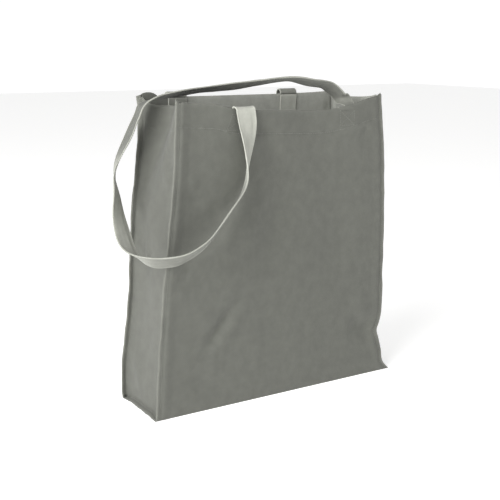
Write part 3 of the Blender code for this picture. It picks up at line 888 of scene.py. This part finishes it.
def strap(name, line, dish=0.0, pale=((0.0, PLAIN_PALE), (1.0, PLAIN_PALE)), pinch=0.0):
    """A folded strap whose middle follows the line. dish cups it across its width. pale is how
    pale it is painted along its length, painted light and shade. pinch is the share of its width
    that its end folds away."""
    lengths = [0.0]
    for (a, _), (b, _) in zip(line, line[1:]):
        lengths.append(lengths[-1] + (b - a).length)
    last = len(line) - 1

    def place(i, j):
        here, width = line[j]
        run, w = lengths[j], ACROSS[i]
        to_end = lengths[-1] - run
        along_it = (line[min(j + 1, last)][0] - line[max(j - 1, 0)][0]).normalized()
        if 0 < j < last:
            width = width - along_it * width.dot(along_it)
        width = width.normalized()
        face = along_it.cross(width).normalized()
        free = smooth(run / TAB) * smooth(to_end / TAB)
        swell = ripple(w * 0.6, run, 0, 0.045, 1.2 * MM) + ripple(w * 1.5, run, 4, 0.018, 0.35 * MM)
        edge = 1 + ripple(w * 9, run, 8, 0.03, 0.03) * free
        lift = (dish * (w * w - 0.3) + swell) * free
        folded = pinch * smooth(1 - to_end / PINCHED)
        beside = (w * (1 - folded) - folded) * edge * STRAP_WIDTH / 2
        # Its edges are painted paler, a painted highlight, and pale paints light and shade along
        # its length.
        paleness = max(EDGE_HIGHLIGHT * smooth((abs(w) - 0.88) / 0.1), along(pale, run))
        return here + width * beside + face * lift, (w * STRAP_WIDTH / 2, run), paleness

    piece = cloth_grid(name, len(ACROSS) - 1, last, place, STRAP_FINISH)
    edges = piece.vertex_groups.new(name="edges")
    for loop in piece.data.loops:
        w = abs(piece.data.uv_layers["cloth"].data[loop.index].uv.x) / (STRAP_WIDTH / 2)
        edges.add([loop.vertex_index], smooth((w - 0.80) / 0.14), "REPLACE")
    thicken(piece, STRAP * 1.15, 0.78)
    rounding = piece.modifiers.new("Soft edges", "SUBSURF")
    rounding.levels = 1
    rounding.render_levels = 1
    apply_modifiers(piece)
    count(piece)
    print(name, "is cut to", round(lengths[-1], 3), "m")
    return piece, lengths[-1]


def panel_point(side, x, above, offset):
    """A point beside the front or back, counted from its rim at x and inwards from its cloth."""
    top = rim_z(x, side)
    at = wall(x, top + min(above, 0.0), side, offset)
    return at + Vector((0, 0, max(above, 0.0)))


def over_the_rim(side, x, lean, width, fold_out, rise):
    """Rows from inside the rim, round over it and down outside, for a handle that hangs outside."""
    turn, centre = (INSIDE_STRAP + fold_out) / 2, (INSIDE_STRAP - fold_out) / 2
    rows = []
    for k in range(9):
        angle = math.pi * k / 8
        offset, above = centre + turn * math.cos(angle), rise * math.sin(angle) - 0.6 * MM
        shift = lean * (0.5 + 0.17 * k / 8)
        rows.append((panel_point(side, x + shift, above, offset), width))
    return rows


# %% [markdown]
# The sewn end of a handle lies flat inside the rim. The front left and both back ends turn over the
# rim here, and the front right one stands up from it, so each end is a short flat strap of its own
# and the long strap carries on from it.

# %% Sewn ends
FRONT_SHIFT = 13 * MM
BACK_SHIFT = -8 * MM
HALF_SPACING = 90 * MM
FRONT_LEAN = 12 * MM


def sewn_end(name, side, x, lean, top, pale):
    """The flat end inside the rim at x, from TAB below the rim up to top below it."""
    rows = []
    for k in range(7):
        below = TAB - (TAB - top) * k / 6
        shift = lean * (0.5 - below / TAB)
        rows.append((panel_point(side, x + shift, -below, INSIDE_STRAP), (1, 0, 0)))
    return strap(name, path_through(rows), pale=((0.0, pale), (1.0, pale)))[0]


front_left_x, front_right_x = FRONT_SHIFT - HALF_SPACING, FRONT_SHIFT + HALF_SPACING
back_left_x, back_right_x = BACK_SHIFT - HALF_SPACING, BACK_SHIFT + HALF_SPACING
ends = {}
# The front left and back right sewn ends are painted paler than the plain strap: painted light.
for end_name, *numbers in (
    # name, side, x, lean, top below the rim, paleness (painted light)
    ("front_handle_left", -1, front_left_x, FRONT_LEAN, 0.9 * MM, 0.84),
    ("front_handle_right", -1, front_right_x, 0.0, 1.0 * MM, PLAIN_PALE),
    ("back_handle_left", 1, back_left_x, 0.0, 0.9 * MM, PLAIN_PALE),
    ("back_handle_right", 1, back_right_x, 0.0, 0.9 * MM, 0.76),
):
    ends[end_name] = sewn_end(end_name + "_sewn_end", *numbers)


# %% [markdown]
# The front handle has fallen to the left. It hangs down the front, swings round the corner of the
# bag on its edge, climbs to the rim of the gusset, and lies across the mouth to its other end. Each
# row below gives a point of one edge, counted from the sewn end or the seam that the strap passes
# there, as in the solid model. Lengths of the strap are painted paler, painted light where they
# catch more light, and one length is painted darker, painted shade.

# %% The front handle
FRONT_ROUTE = (
    # x from, y from, then each point of the edge and the way that the width points
    ("left end", "front", (
        ((16.5, -9.5, -31), (0.99, 0.12, 0)),
        ((16, -8, -44), (0.95, 0.33, 0)),
        ((12, -6.5, -65), (0.78, 0.62, 0)),
        ((6.5, -6.5, -85), (0.58, 0.81, 0)),
        ((-0.5, -9.5, -104.5), (0.48, 0.87, -0.12)),
        ((-12.5, -12.5, -124), (0.4, 0.85, -0.35)),
    )),
    ("left seam", "front", (
        ((68, -16.5, -145), (0.33, 0.81, -0.49)),
        ((47.5, -20, -166.5), (0.25, 0.8, -0.55)),
        ((29.5, -20, -181), (0.15, 0.8, -0.58)),
        ((7, -16, -192.5), (0.12, 0.79, -0.6)),
        ((-7, -8, -196.5), (0.4, 0.7, -0.6)),
        ((-18, 4.5, -196.5), (0.66, 0.48, -0.58)),
    )),
    ("left seam", "back", (
        ((-23, -77, -191), (0.84, 0.22, -0.5)),
        ((-24, -59, -176), (0.92, 0.14, -0.37)),
        ((-23.5, -35.5, -149.5), (0.88, 0.41, -0.25)),
        ((-24, -18.5, -123), (0.69, 0.69, -0.2)),
        ((-27, -8, -97), (0.48, 0.86, -0.16)),
        ((-24, -2.5, -75.5), (0.26, 0.96, -0.1)),
        ((-12.2, -3.5, -47.8), (0.22, 0.98, 0)),
        ((-3.8, -10.5, -23.8), (0.3, 0.95, -0.02)),
        ((-2.5, -16.3, -11), (0.2, 0.97, -0.08)),
        ((8, -19, -5), (0.2, 0.96, -0.16)),
        ((22.5, -21.5, -2.6), (0.24, 0.94, -0.26)),
        ((42.5, -27.5, -0.4), (0.24, 0.92, -0.32)),
    )),
    ("right end", "back", (
        ((-187, -35, 5), (0.24, 0.92, -0.31)),
        ((-147.5, -45, 8), (0.24, 0.91, -0.37)),
    )),
    ("right end", "rim", (
        ((-118.5, 47.5, 26.6), (0.24, 0.92, -0.33)),
        ((-75.5, 37.2, 33), (0.24, 0.95, -0.22)),
        ((-43.5, 31, 26.4), (0.24, 0.91, -0.34)),
        ((-19, 29.5, 22.5), (0.2, 0.92, -0.33)),
        ((-5, 30.2, 12), (0, 0.96, -0.26)),
        ((-4.8, 28.4, 6.2), (-0.32, 0.93, -0.16)),
    )),
)
ROUTE_FROM_END = 8 * MM
RIM_OVER_RIGHT_END = 377.6 * MM


def seam_line_x(z):
    """The upright seams' straight run that the strap's rows count from."""
    t = z / BAG_HEIGHT
    return HALF_LENGTH - (HALF_LENGTH - HALF_MOUTH - 3 * MM) * (1.2 * t - 0.2 * t**3)


def front_rows():
    """The route's rows, moved from the strap's edge to its middle."""
    rows = []
    for x_from, y_from, points in FRONT_ROUTE:
        start_y = HALF_DEPTH if y_from == "back" else -HALF_DEPTH
        for (x, y, z), width in points:
            height = z * MM + (RIM_OVER_RIGHT_END if y_from == "rim" else BAG_HEIGHT)
            start_x = {"left end": front_left_x + ROUTE_FROM_END,
                       "left seam": -seam_line_x(height), "right end": front_right_x}[x_from]
            edge = Vector((start_x + x * MM, start_y + y * MM, height))
            rows.append((edge - Vector(width).normalized() * (STRAP_WIDTH / 2), width))
    return rows


# metres along the strap, paleness: painted light and shade
FRONT_LIGHT_AND_SHADE = ((0.0, 1.0), (0.09, 1.0), (0.12, 0.33), (0.26, 0.33), (0.30, 0.8), (0.41, 0.8),
              (0.445, 0.1), (0.57, 0.05), (0.62, 0.21), (0.85, 0.21))
FRONT_FOLD_RISE = 3.6 * MM
front_fold = over_the_rim(-1, front_left_x, FRONT_LEAN, (1, 0, 0), FOLD_OUT, FRONT_FOLD_RISE)
top_of_right_end = panel_point(-1, front_right_x, -0.8 * MM, INSIDE_STRAP)
front_path = path_through([*front_fold, *front_rows(), (top_of_right_end, (-1, 0, 0))])
front_strap, front_cut = strap("front_handle_strap", front_path, dish=0.8 * MM, pale=FRONT_LIGHT_AND_SHADE,
                               pinch=0.40)


# %% [markdown]
# The back handle hangs straight down behind the bag: two flat runs, and an edgewise curve at the
# bottom. Its two halves mirror each other, so only the left one is written out.

# %% The back handle
BACK_DROP = 262 * MM
BACK_OUT = 18 * MM
BACK_FOLD_OUT = 8 * MM
BACK_FOLD_RISE = 7 * MM


def back_rows():
    """Rows down the left run and round to the middle, and the same mirrored up the right one."""
    top = rim_z(0, 1) - 5 * MM
    low, bend = top - BACK_DROP, HALF_SPACING * 0.8
    half = over_the_rim(1, back_left_x, 0.0, (1, 0, 0), BACK_FOLD_OUT, BACK_FOLD_RISE)
    fold_rows = len(half)
    for turn, width in ((0.16, (1, 0.05, 0)), (0.40, (0.97, 0.25, 0)),
                        (0.62, (0.80, 0.60, 0)), (0.78, (0.45, 0.88, 0))):
        z = top - turn * (BACK_DROP - bend)
        y = HALF_DEPTH + FOLD_OUT + 1.5 * MM + BACK_OUT * smooth(turn)
        half.append((Vector((back_left_x, y, z)), width))
    y = HALF_DEPTH + FOLD_OUT + BACK_OUT
    for angle in (20, 50, 70):
        a = math.radians(angle)
        x = BACK_SHIFT - HALF_SPACING * math.cos(a)
        half.append((Vector((x, y, low + bend - bend * math.sin(a))), (0.25 * math.cos(a), 1, 0)))
    other = over_the_rim(1, back_right_x, 0.0, (-1, 0, 0), BACK_FOLD_OUT, BACK_FOLD_RISE)
    mirrored = [(Vector((2 * BACK_SHIFT - p.x, p.y, p.z)), (-a, b, c))
                for p, (a, b, c) in half[fold_rows:]]
    return [*half, (Vector((BACK_SHIFT, y, low)), (0, 1, 0)), *reversed(mirrored), *reversed(other)]


back_strap, back_cut = strap("back_handle_strap", path_through(back_rows()), dish=0.5 * MM)


# %% [markdown]
# A lockstitch shows as a row of short lengths of thread, each pulled down into the cloth at its
# ends. One stitch is a tiny stretched ball with a few dozen faces, and it is copied along every
# seam, hem and box of stitching.

# %% Stitches
STITCH = 2.3 * MM
STITCH_PITCH = 3.0 * MM
THREAD_THICK = 0.55 * MM
SEAM_STITCH_OUT = 1.0 * MM


def stitch_along(shape, points, face_of):
    """Add stitches along the points. face_of gives the way out of the cloth that they lie on."""
    run_shape = bmesh.new()
    spare = 0.0
    for a, b in zip(points, points[1:]):
        step = (b - a).length
        at = spare
        while at < step:
            t = at / step
            middle = a.lerp(b, t)
            run = (b - a).normalized()
            out = face_of(middle)
            out = (out - run * out.dot(run)).normalized()
            axes = Matrix((run * STITCH / 2, run.cross(out) * THREAD_THICK / 2,
                           out * THREAD_THICK / 2)).transposed().to_4x4()
            lying = Matrix.Translation(middle) @ axes @ Matrix.Rotation(math.pi / 2, 4, "Y")
            bmesh.ops.create_uvsphere(run_shape, u_segments=6, v_segments=4, radius=1, matrix=lying)
            at += STITCH_PITCH
        spare = at - step
    run_mesh = bpy.data.meshes.new("Run of stitches")
    run_shape.to_mesh(run_mesh)
    run_shape.free()
    shape.from_mesh(run_mesh)
    bpy.data.meshes.remove(run_mesh)


def finish_stitches(name, shape):
    """Turn the shape into a piece made of thread."""
    bmesh.ops.recalc_face_normals(shape, faces=shape.faces)
    piece = piece_of(name, shape, THREAD_FINISH)
    count(piece)
    return piece


def seam_stitches():
    """Both sides of every fin show the thread."""
    shape = bmesh.new()
    for side in (-1, 1):
        for end in (-1, 1):
            for face in (end, -end):
                points = []
                for k in range(61):
                    z = 6 * MM + k / 60 * (BAG_HEIGHT - 7 * MM)
                    sway = fin_sway(side, end, z, SEAM_STITCH_OUT)
                    lift = face * (FIN_APART + CLOTH / 2 + 0.06 * MM + FIN_FLARE / 6)
                    x = seam_edge(side, end * HALF_DEPTH, z) + SEAM_STITCH_OUT
                    points.append(Vector((side * x, end * HALF_DEPTH + lift + sway, z)))
                stitch_along(shape, points, lambda p, face=face: Vector((0, face, 0)))
        points = []
        for k in range(31):
            y = (k / 30 * 2 - 1) * (HALF_DEPTH - 2 * MM)
            x = seam_edge(side, y, 0) + SEAM_STITCH_OUT
            z = end_seam_z(side, y, SEAM_STITCH_OUT) + CLOTH + 2 * FIN_APART + 0.1 * MM
            points.append(Vector((side * x, y, z)))
        stitch_along(shape, points, lambda p, side=side: Vector((side * 0.6, 0, 0.8)))
    return finish_stitches("seam_stitches", shape)


def panel_outside(x, z, side):
    """A point just proud of the front or back cloth."""
    return wall(x, z, side, -(CLOTH / 2 + 0.05 * MM))


def hem_stitches():
    shape = bmesh.new()
    for side in (-1, 1):
        points = []
        for k in range(121):
            x = (k / 60 - 1) * (HALF_MOUTH - 3 * MM)
            points.append(panel_outside(x, rim_z(x, side) - HEM_STITCH, side))
        stitch_along(shape, points, lambda p, side=side: Vector((0, side, 0)))
        points = []
        for k in range(61):
            y = (k / 30 - 1) * (HALF_DEPTH - 3 * MM)
            z = gusset_rim(side, y) - HEM_STITCH
            x = seam_edge(side, y, z) - GUSSET_TURN - gusset_inward(side, y, z)
            points.append(Vector((side * (x + CLOTH / 2 + 0.05 * MM), y, z)))
        stitch_along(shape, points, lambda p, side=side: Vector((side, 0, 0)))
    return finish_stitches("hem_stitches", shape)


def box_stitches():
    """A box with a cross in it holds each end of a handle."""
    shape = bmesh.new()
    half_w, half_h = 11 * MM, 9.5 * MM
    for side, x, lean in ((-1, front_left_x, FRONT_LEAN), (-1, front_right_x, 0.0),
                          (1, back_left_x, 0.0), (1, back_right_x, 0.0)):
        middle = rim_z(x, side) - 6.5 * MM - half_h

        def spot(a, b):
            leaned = lean * b * half_h / TAB
            return panel_outside(x + a * half_w + leaned, middle + b * half_h, side)

        corners = ((-1, -1), (1, -1), (1, 1), (-1, 1), (-1, -1), (1, 1), (-1, 1), (1, -1))
        for (a, b), (c, d) in zip(corners, corners[1:]):
            points = [spot(a + (c - a) * k / 8, b + (d - b) * k / 8) for k in range(9)]
            stitch_along(shape, points, lambda p, side=side: Vector((0, side, 0)))
    return finish_stitches("handle_stitches", shape)


seam_thread = seam_stitches()
hem_thread = hem_stitches()
box_thread = box_stitches()


# %% [markdown]
# The looks are tied to the solid model here. The solids that the pieces cover are hidden. The
# cloth, the threads and the sewn ends ride on the bag's body. The two long straps cross a hinge
# between the bag and its handle, and are baked in place where they lie.

# %% Tie the looks to the solid model
CORNERS = ("front_left", "front_right", "back_left", "back_right")
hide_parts("front_panel", "back_panel", "bottom_panel", "front_hem", "back_hem")
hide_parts("left_gusset", "left_hem",
            "front_left_seam", "back_left_seam", "bottom_left_seam")
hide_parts("right_gusset", "right_hem",
            "front_right_seam", "back_right_seam", "bottom_right_seam")
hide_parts(*[corner + "_seam_stitching" for corner in CORNERS],
            "bottom_left_seam_stitching", "bottom_right_seam_stitching")
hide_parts(*[rim + "_hem_stitching" for rim in ("front", "back", "left", "right")])
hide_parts(*[corner + "_box_stitch" for corner in CORNERS])
for end_name, piece in ends.items():
    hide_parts(end_name + "_end")
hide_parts("front_handle_loop", "front_handle_run")
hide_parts("back_handle_loop")

for piece in (strip, left_gusset, right_gusset):
    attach(piece, "bag")
for piece in (seam_thread, hem_thread, box_thread):
    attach(piece, "bag")
for piece in ends.values():
    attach(piece, "bag")
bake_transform(front_strap)
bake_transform(back_strap)
